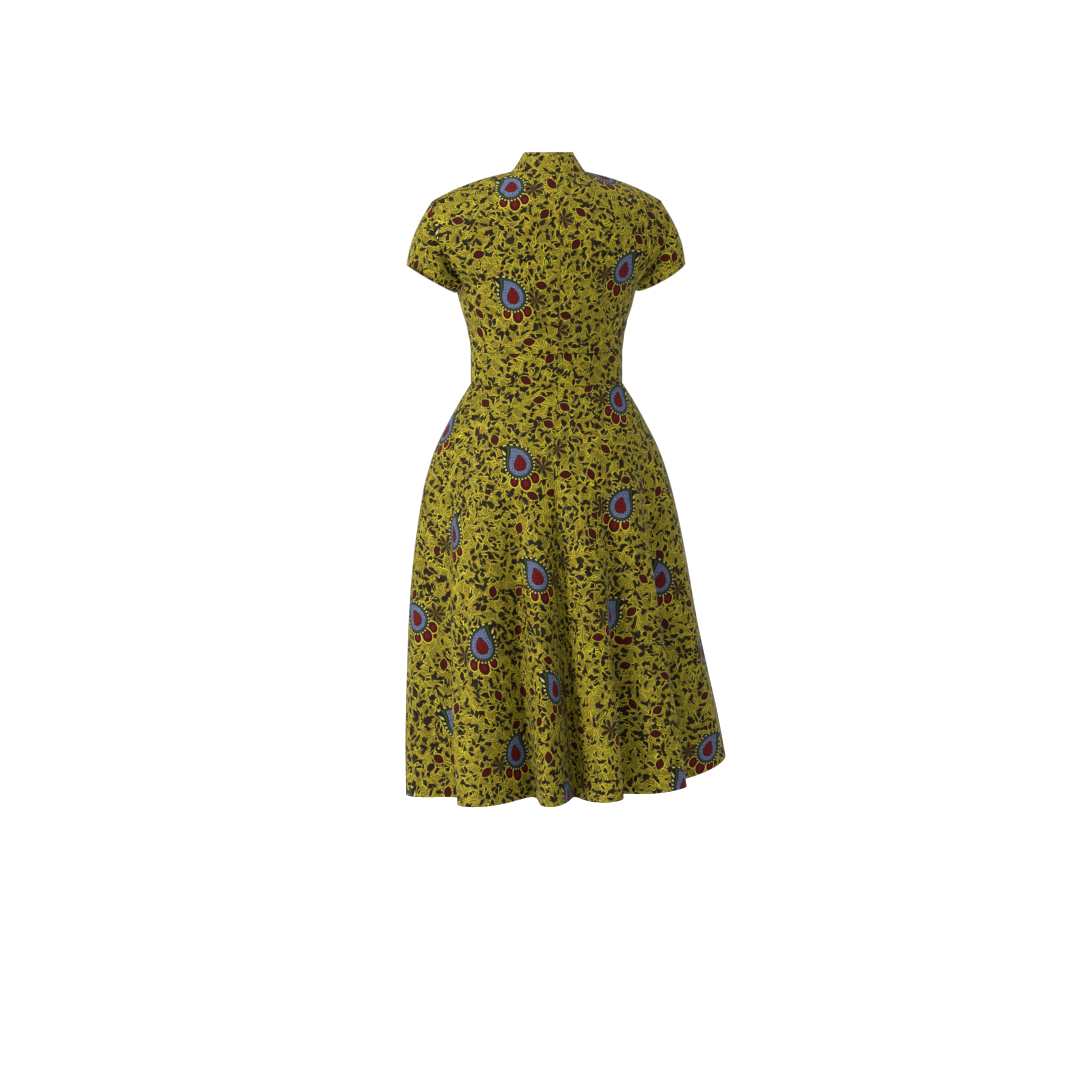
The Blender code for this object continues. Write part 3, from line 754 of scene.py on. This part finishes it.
def finished(grid, flat, folds, depth=None, tube=False):
    """Points and flat cut of a panel with its creases pressed in and its edges turned."""
    normal, inwards = outward(grid, tube)
    if depth is not None:
        grid = grid - normal * depth[..., None]
        normal, inwards = outward(grid, tube)
    for edge in folds:
        pull_in(grid, edge)
    cloth = (grid, normal, flat)
    for edge, fold in folds.items():
        cloth = turn_under(cloth, edge, fold)
    return cloth, inwards


def edge_folds(bottom=SEAM_FOLD):
    """Folds of a panel with seams at its sides and top, and its own fold at the last row."""
    return {"first_column": SEAM_FOLD, "last_column": SEAM_FOLD,
            "first_row": SEAM_FOLD, "last_row": bottom}


def make_bodice(material):
    """Back panels with their darts, and a front in one piece: its two halves share the
    centre front line, and its neck edge starts where that line ends."""
    for node, side in (("bodice_back_left", 1), ("bodice_back_right", -1)):
        grid = body_rows(BACK_ROWS) * np.array([side, 1, 1])
        flat = body_flat(body_rows(BACK_ROWS), side)
        depth = (lines_depth(grid[..., 0], grid[..., 2], BACK_CREASES)
                 + darts_depth(grid[..., 0], grid[..., 2], BACK_DARTS))
        folds = {"last_column": SEAM_FOLD, "first_column": SEAM_FOLD,
                 "first_row": SEAM_FOLD, "last_row": SEAM_FOLD}
        (points, _, flat), inwards = finished(grid, flat, folds, depth)
        dress_piece(node, [(points, flat, inwards)], material)
    patches = []
    for side in (1, -1):
        grid = body_rows(FRONT_ROWS) * np.array([side, 1, 1])
        flat = body_flat(body_rows(FRONT_ROWS), side)
        depth = (lines_depth(grid[..., 0], grid[..., 2], FRONT_CREASES)
                 + darts_depth(grid[..., 0], grid[..., 2], FRONT_DARTS))
        neck = np.count_nonzero(np.abs(grid[:, 0, 0]) < 1e-6) - 1 + len(SEAM_FOLD) - 1
        folds = {"last_column": SEAM_FOLD, "first_row": SEAM_FOLD, "last_row": SEAM_FOLD}
        cloth, inwards = finished(grid, flat, folds, depth)
        cloth[0][:neck + 1, 0, 0] = 0.0
        points, _, flat = cloth
        edge = turn_under(tuple(a[neck:, :2] for a in cloth), "first_column", SEAM_FOLD)
        patches += [(points[:neck + 1], flat[:neck + 1], inwards),
                    (points[neck:, 1:], flat[neck:, 1:], inwards),
                    (edge[0], edge[2], inwards)]
    dress_piece("bodice_front", patches, material)


def make_collar(material):
    """The stand collar, turned over at its top edge into its own inner layer."""
    grid = collar_grid()
    flat = strip_flat(grid) * np.array([1, -1])
    (points, _, flat), inwards = finished(grid, flat, edge_folds(COLLAR_FOLD))
    dress_piece("collar", [(points, flat, inwards)],
                material)


def make_sleeves(material):
    """Short sleeves set in at the armhole, with a turned hem and an underarm seam."""
    step, share = np.meshgrid(sleeve_steps(), np.linspace(0, 1, SLEEVE_ROWS + 1))
    around = np.where(step > 12, step - 12, step)
    for node, side in (("sleeve_left", 1), ("sleeve_right", -1)):
        grid = sleeve_grid() * np.array([side, 1, 1])
        flat = strip_flat(sleeve_grid()) * np.array([side, 1])
        depth = lines_depth(around, share, SLEEVE_CREASES)
        (points, _, flat), inwards = finished(grid, flat, edge_folds(HEM_FOLD), depth, tube=True)
        dress_piece(node, [(points, flat, inwards)],
                    material)


def make_waistband(material):
    """The inset waistband in three strips."""
    spans = (("waistband_back_left", 0, 90, BAND_COLUMNS),
             ("waistband_front", 90, 270, 2 * BAND_COLUMNS),
             ("waistband_back_right", 270, 360, BAND_COLUMNS))
    for node, first, last, columns in spans:
        grid = band_grid(first, last, columns)
        flat = strip_flat(grid, rounds=1)
        (points, _, flat), inwards = finished(grid, flat, edge_folds())
        dress_piece(node, [(points, flat, inwards)],
                    material)


def make_skirt(material):
    """Three flared panels that hang from the waistband in flutes, with a turned hem."""
    spans = (("skirt_back_left", 0, 90, SKIRT_COLUMNS, 0),
             ("skirt_front", 90, 270, 2 * SKIRT_COLUMNS, SKIRT_COLUMNS),
             ("skirt_back_right", 270, 360, SKIRT_COLUMNS, SKIRT_COLUMNS))
    for node, first, last, columns, centre in spans:
        grid = skirt_grid(first, last, columns)
        flat = skirt_flat(grid, centre)
        (points, _, flat), inwards = finished(grid, flat, edge_folds(HEM_FOLD))
        dress_piece(node, [(points, flat, inwards)],
                    material)


class Field:
    """A value that varies over the cloth. Sums on it add Math nodes to the material."""

    def __init__(self, socket):
        self.socket = socket

    def sum(self, operation, *others):
        node = self.socket.node.id_data.nodes.new("ShaderNodeMath")
        node.operation = operation
        connect(node.inputs[0], self)
        for place, other in enumerate(others, 1):
            connect(node.inputs[place], other)
        return Field(node.outputs[0])

    def __add__(self, other):
        return self.sum("ADD", other)

    __radd__ = __add__

    def __sub__(self, other):
        return self.sum("SUBTRACT", other)

    def __rsub__(self, other):
        return self.sum("MULTIPLY", -1.0) + other

    def __mul__(self, other):
        return self.sum("MULTIPLY", other)

    __rmul__ = __mul__

    def __truediv__(self, other):
        return self.sum("DIVIDE", other)

    def __pow__(self, other):
        return self.sum("POWER", other)

    def __abs__(self):
        return self.sum("ABSOLUTE")

    def __gt__(self, other):
        return self.sum("GREATER_THAN", other)

    def __lt__(self, other):
        return self.sum("LESS_THAN", other)

    def __mod__(self, other):
        return self.sum("FLOORED_MODULO", other)

    def floor(self):
        return self.sum("FLOOR")

    def sine(self):
        return self.sum("SINE")

    def cosine(self):
        return self.sum("COSINE")

    def ramp(self, low, high):
        """0 below low, 1 above high and straight between them."""
        return ((self - low) / (high - low)).sum("MINIMUM", 1.0).sum("MAXIMUM", 0.0)


def connect(socket, value):
    """Give a socket a link, a number, a vector or a colour."""
    if isinstance(value, Field):
        socket.node.id_data.links.new(value.socket, socket)
    else:
        socket.default_value = value


def hypot(x, y):
    """Length of the vector of two values."""
    return (x * x + y * y) ** 0.5


class Cloth:
    """The material's node tree, with one method that adds any node."""

    def __init__(self, name):
        self.material = bpy.data.materials.new(name)
        self.material.use_nodes = True
        self.tree = self.material.node_tree
        self.tree.nodes.clear()

    def node(self, kind, settings=None, **inputs):
        node = self.tree.nodes.new("ShaderNode" + kind)
        for key, value in (settings or {}).items():
            setattr(node, key, value)
        for key, value in inputs.items():
            connect(node.inputs[key.replace("_", " ")], value)
        return node

    def vector(self, x, y, z=0.0):
        return Field(self.node("CombineXYZ", X=x, Y=y, Z=z).outputs[0])

    def parts(self, vector):
        node = self.node("SeparateXYZ", Vector=vector)
        return [Field(socket) for socket in node.outputs]

    def noise(self, x, y, size, detail=2.0, roughness=0.5):
        """Two noise values, each near one half, over patches of a size in millimetres."""
        node = self.node("TexNoise", {"noise_dimensions": "2D"}, Vector=self.vector(x, y),
                         Scale=1 / size, Detail=detail, Roughness=roughness)
        red, green, _ = self.parts(Field(node.outputs["Color"]))
        return red, green

    def cells(self, x, y, pitch, randomness=1.0, feature="F1"):
        """Scattered cells: distance from the cell's middle, place in the cell and three
        values of its own, all lengths in millimetres."""
        node = self.node("TexVoronoi", {"voronoi_dimensions": "2D", "feature": feature},
                         Vector=self.vector(x / pitch, y / pitch), Scale=1.0,
                         Randomness=randomness)
        middle_x, middle_y, _ = self.parts(Field(node.outputs["Position"]))
        own = self.parts(Field(node.outputs["Color"]))
        return (Field(node.outputs["Distance"]) * pitch, x - middle_x * pitch,
                y - middle_y * pitch, own)

    def mix(self, share, a, b):
        node = self.node("Mix", {"data_type": "RGBA"})
        connect(node.inputs["Factor"], share)
        for socket, value in zip([s for s in node.inputs if s.type == "RGBA"], (a, b)):
            connect(socket, value)
        return Field([s for s in node.outputs if s.type == "RGBA"][0])


def turned(x, y, turn):
    """Place in axes that are turned by an angle."""
    c, s = turn.cosine(), turn.sine()
    return x * c + y * s, y * c - x * s


def leaf(x, y, half_length, half_width):
    """Inside distance of a pointed leaf along x: a parabola each side of its midrib."""
    share = x / half_length
    return half_width * (1 - share * share) - abs(y)


def leaf_fill(c, choice, dots, line):
    """Olive or yellow of a leaf, with its fine dots and its bright line."""
    fill = c.mix(choice, colour(LEAF_OLIVE), colour(LEAF_YELLOW))
    fill = c.mix(dots, fill, colour(LEAF_TAN))
    return c.mix(line, fill, colour(LEAF_LINE))


def wax_print():
    """Wax print cotton: olive leaves parted by veins and bent gaps of a near-black ground,
    drops of maroon and a large paisley in a half-drop repeat, on a plain weave."""
    c = Cloth("wax_print_cotton")
    place = c.node("UVMap", {"uv_map": "cut"})
    u, v, _ = c.parts(Field(place.outputs[0]))
    u, v = u * 1000.0, v * 1000.0
    wave_x, wave_y = c.noise(u, v, WARP_SIZE, 1.0)
    x = u + (wave_x - 0.5) * WARP_REACH
    y = v + (wave_y - 0.5) * WARP_REACH

    # Fine dots that fill every leaf, and the ground that shows in the gaps
    dot, _, _, _ = c.cells(u, v, DOT_PITCH, 0.8)
    dots = (dot < DOT_PITCH * DOT_REACH) * DOT_STRENGTH
    tone, grain = c.noise(u, v, 14.0, 2.0)
    ground = c.mix(tone.ramp(0.50, 0.58), colour(GROUND_BROWN), colour(GROUND_GREEN))

    # Lowest leaves: rounded cells that meet in a dark vein between two bright lines
    beside = c.node("TexVoronoi", {"voronoi_dimensions": "2D", "feature": "DISTANCE_TO_EDGE"},
                    Vector=c.vector(x / CELL_PITCH, y / CELL_PITCH), Scale=1.0, Randomness=1.0)
    edge = Field(beside.outputs["Distance"]) * CELL_PITCH
    _, _, _, own = c.cells(x, y, CELL_PITCH)
    print_colour = leaf_fill(c, own[2], dots, edge < LINE_WIDE + VEIN_WIDE)
    print_colour = c.mix(edge < VEIN_WIDE, print_colour, ground)

    # Pointed petals over them
    pitch, shift, half_length, half_width, share = PETALS
    _, leaf_x, leaf_y, own = c.cells(x + shift, y - shift, pitch, 0.9)
    along, across = turned(leaf_x, leaf_y, own[0] * 6.2832)
    inside = leaf(along, across, half_length, half_width)
    fill = leaf_fill(c, own[1], dots, inside < LINE_WIDE)
    shown = own[2] < share
    print_colour = c.mix((inside > -2 * VEIN_WIDE) * shown, print_colour, ground)
    print_colour = c.mix((inside > 0.0) * shown, print_colour, fill)

    # Gaps: small bent thorns of dark ground between the leaves, with a bright line round them
    for pitch, shift, half_length, half_width, bend, share in GAPS:
        _, gap_x, gap_y, own = c.cells(x + shift, y - shift, pitch, 0.85)
        along, across = turned(gap_x, gap_y, own[0] * 6.2832)
        across = across + along * along * (own[1] - 0.5) * bend
        blunt = half_width * (1 + along / half_length * GAP_BLUNT)
        inside = leaf(along, across, half_length, blunt)
        shown = own[2] < share
        line = (inside > -LINE_WIDE) * (inside < 0.0) * shown * (own[1] > GAP_LINED)
        print_colour = c.mix(line, print_colour, colour(LEAF_LINE))
        print_colour = c.mix((inside > 0.0) * shown, print_colour, ground)

    # Scattered maroon drops
    _, drop_x, drop_y, own = c.cells(u + 53.0, v + 17.0, DROP_PITCH, 0.9)
    along, across = turned(drop_x, drop_y, own[0] * 6.2832)
    drop = leaf(along, across, DROP_HALF_LENGTH, DROP_HALF_WIDTH)
    shown = own[1] > DROP_LEFT_OUT
    print_colour = c.mix((drop > -0.8) * shown, print_colour, colour(LEAF_LINE))
    print_colour = c.mix((drop > 0.0) * shown, print_colour, colour(GROUND_BROWN))
    print_colour = c.mix((drop > 1.0) * shown, print_colour, colour(MAROON))

    print_colour = paisley_repeat(c, u, v, print_colour)

    # Plain weave, fine crumple and finish
    thread = 2 * pi / THREAD_PITCH
    weave = (u * thread).sine() * (v * thread).sine()
    crumple, _ = c.noise(u, v, CRUMPLE_SIZE, 3.0)
    height = weave * WEAVE_DEEP + crumple * CRUMPLE_DEEP
    bump = c.node("Bump", Strength=0.6, Distance=1.0, Height=height)
    worn, _ = c.noise(u + 900.0, v, WORN_SIZE, 3.0)
    shade = c.mix(worn.ramp(0.3, 0.7) * WORN_DARK, print_colour, (0.0, 0.0, 0.0, 1.0))
    roughness = COTTON_ROUGH + (grain - 0.5) * 0.2
    shader = c.node("BsdfPrincipled", Base_Color=shade, Roughness=roughness,
                    Normal=Field(bump.outputs[0]))
    shader.inputs["Sheen Weight"].default_value = COTTON_SHEEN
    shader.inputs["Sheen Roughness"].default_value = 0.4
    shader.inputs["Specular IOR Level"].default_value = COTTON_SPECULAR
    c.node("OutputMaterial", Surface=Field(shader.outputs[0]))
    return c.material


# Paisley repeat of the print, in millimetres: the spacing, the body's radius, how far its
# tip reaches, how sharp the tip is, where it points and how much it curls
REPEAT_WIDE = 152.0
REPEAT_TALL = 190.0
BODY_RADIUS = 21.0
TIP_REACH = 1.05
TIP_SHARP = 0.55
TIP_POINTS = 1.9
TIP_CURL = 0.022

# Sprig beside it: its middle and how far its leaves reach. Berries: middle and radius
SPRIG = (-38.0, -3.0)
SPRIG_REACH = 21.0
BERRIES = ((-24.0, -22.0, 8.0), (-8.0, -31.0, 9.5), (11.0, -27.0, 7.5))


def paisley_repeat(c, u, v, ground):
    """A large paisley in each half-drop repeat: a dark edge with a ring of pale dots, a
    green line, a lavender field of dots and a red heart, with a sprig and berries by it."""
    column = (u / REPEAT_WIDE).floor()
    odd = column % 2.0
    x = (u % REPEAT_WIDE - REPEAT_WIDE / 2) * (1 - odd * 2)
    y = (v + odd * (REPEAT_TALL / 2)) % REPEAT_TALL - REPEAT_TALL / 2
    far = hypot(x, y)
    angle = y.sum("ARCTAN2", x)
    off = abs((angle - TIP_POINTS + far * TIP_CURL + pi) % (2 * pi) - pi)
    reach = BODY_RADIUS * (1 + (off / -TIP_SHARP).sum("EXPONENT") * TIP_REACH)
    level = far / reach

    # Sprig of fine leaves beside the body, on a dark ground
    sprig_x, sprig_y = x - SPRIG[0], y - SPRIG[1]
    sprig_far = hypot(sprig_x, sprig_y)
    sprig_angle = sprig_y.sum("ARCTAN2", sprig_x)
    petal = abs((sprig_angle * 3.5).cosine()) ** 0.6 * SPRIG_REACH - sprig_far
    half = (sprig_angle * 7.0 + sprig_far * 0.2).sine() > 0.0
    petal_fill = c.mix(half, colour(LINE_GREEN), colour(MAROON))
    out = c.mix(petal > -1.6, ground, colour(GROUND_BROWN))
    out = c.mix(petal > 0.0, out, colour(LEAF_LINE))
    out = c.mix(petal > 1.3, out, petal_fill)

    # Three berries below it
    for berry_x, berry_y, radius in BERRIES:
        berry = hypot(x - berry_x, (y - berry_y) * 0.8)
        out = c.mix(berry < radius + 1.2, out, colour(LEAF_LINE))
        out = c.mix(berry < radius, out, colour(MAROON))
        out = c.mix(berry < radius * 0.45, out, colour(RED))

    # Body, from its outer edge inwards
    rays = ((angle * 26.0).cosine() > 0.1) * (level > 1.04) * (level < 1.16)
    out = c.mix(level < 1.2, out, colour(GROUND_BROWN))
    out = c.mix(rays, out, colour(PALE_DOT))
    for reached, ring in ((0.96, LINE_GREEN), (0.87, GROUND_BROWN), (0.82, LAVENDER)):
        out = c.mix(level < reached, out, colour(ring))
    dot, _, _, _ = c.cells(x, y, 2.6, 0.6)
    dots = (dot < 0.8) * (level < 0.80) * (level > 0.47)
    out = c.mix(dots, out, colour(LAVENDER_DOT))
    out = c.mix(level < 0.47, out, colour(GROUND_BROWN))
    out = c.mix(level < 0.43, out, colour(RED))
    spot, _, _, _ = c.cells(x, y, 7.0, 0.5)
    out = c.mix((spot < 1.7) * (level < 0.40), out, colour(MAROON))
    return out


def area_light(name, place, size, power):
    """A soft square light that faces the dress."""
    data = bpy.data.lights.new(name, "AREA")
    data.shape = "SQUARE"
    data.size = size
    data.energy = power
    light = placed(name, data)
    away = np.array(place) - np.array(AIM)
    flat = np.hypot(away[0], away[1])
    light.location = place
    light.rotation_euler = (np.arctan2(flat, away[2]), 0, np.arctan2(away[0], -away[1]))
    return light


# Studio: the camera's turn round the dress and its tilt, and the floor under the hem
CAMERA_TURN = radians(12)
CAMERA_FAR = 6.0
CAMERA_HEIGHT = 0.075
CAMERA_TILT = radians(6.711)
CAMERA_LENS = 117.08
CAMERA_SHIFT = -0.0065
FLOOR = -1.525
FLOOR_HALF_WIDTH = 60.0

# Soft lights: where each stands, its width and its power, and where both are aimed
AIM = (0.0, 0.0, -0.55)
KEY_LIGHT = ((4.1, 2.0, 1.6), 1.2, 400)
TOP_LIGHT = ((-0.9, 0.6, 3.0), 1.6, 85)
WORLD_LIGHT = 1.04


def make_studio():
    """Pale floor, soft lights and the camera behind the wearer's left shoulder."""
    camera_data = bpy.data.cameras.new("camera")
    camera_data.lens = CAMERA_LENS
    camera_data.sensor_width = 36
    camera_data.shift_x = CAMERA_SHIFT
    camera = placed("camera", camera_data)
    camera.location = (CAMERA_FAR * sin(CAMERA_TURN), CAMERA_FAR * cos(CAMERA_TURN),
                       CAMERA_HEIGHT)
    camera.rotation_euler = (pi / 2 - CAMERA_TILT, 0, pi - CAMERA_TURN)
    bpy.context.scene.camera = camera

    mesh = bpy.data.meshes.new("floor")
    wide = FLOOR_HALF_WIDTH
    mesh.from_pydata([(-wide, -wide, FLOOR), (wide, -wide, FLOOR), (wide, wide, FLOOR),
                      (-wide, wide, FLOOR)], [], [(0, 1, 2, 3)])
    paper = Cloth("pale_floor")
    shader = paper.node("BsdfPrincipled", Base_Color=(0.97, 0.97, 0.97, 1.0), Roughness=1.0)
    paper.node("OutputMaterial", Surface=Field(shader.outputs[0]))
    mesh.materials.append(paper.material)
    floor = placed("floor", mesh)

    area_light("key", *KEY_LIGHT)
    area_light("top", *TOP_LIGHT)

    world = bpy.data.worlds.new("studio")
    world.use_nodes = True
    world.node_tree.nodes["Background"].inputs["Color"].default_value = (1, 1, 1, 1)
    world.node_tree.nodes["Background"].inputs["Strength"].default_value = WORLD_LIGHT
    bpy.context.scene.world = world
    bpy.context.scene.view_settings.view_transform = "Standard"


def make_dress():
    """Every cut piece of the dress in the same printed cotton."""
    cotton = wax_print()
    make_bodice(cotton)
    make_collar(cotton)
    make_sleeves(cotton)
    make_waistband(cotton)
    make_skirt(cotton)


make_dress()
make_studio()
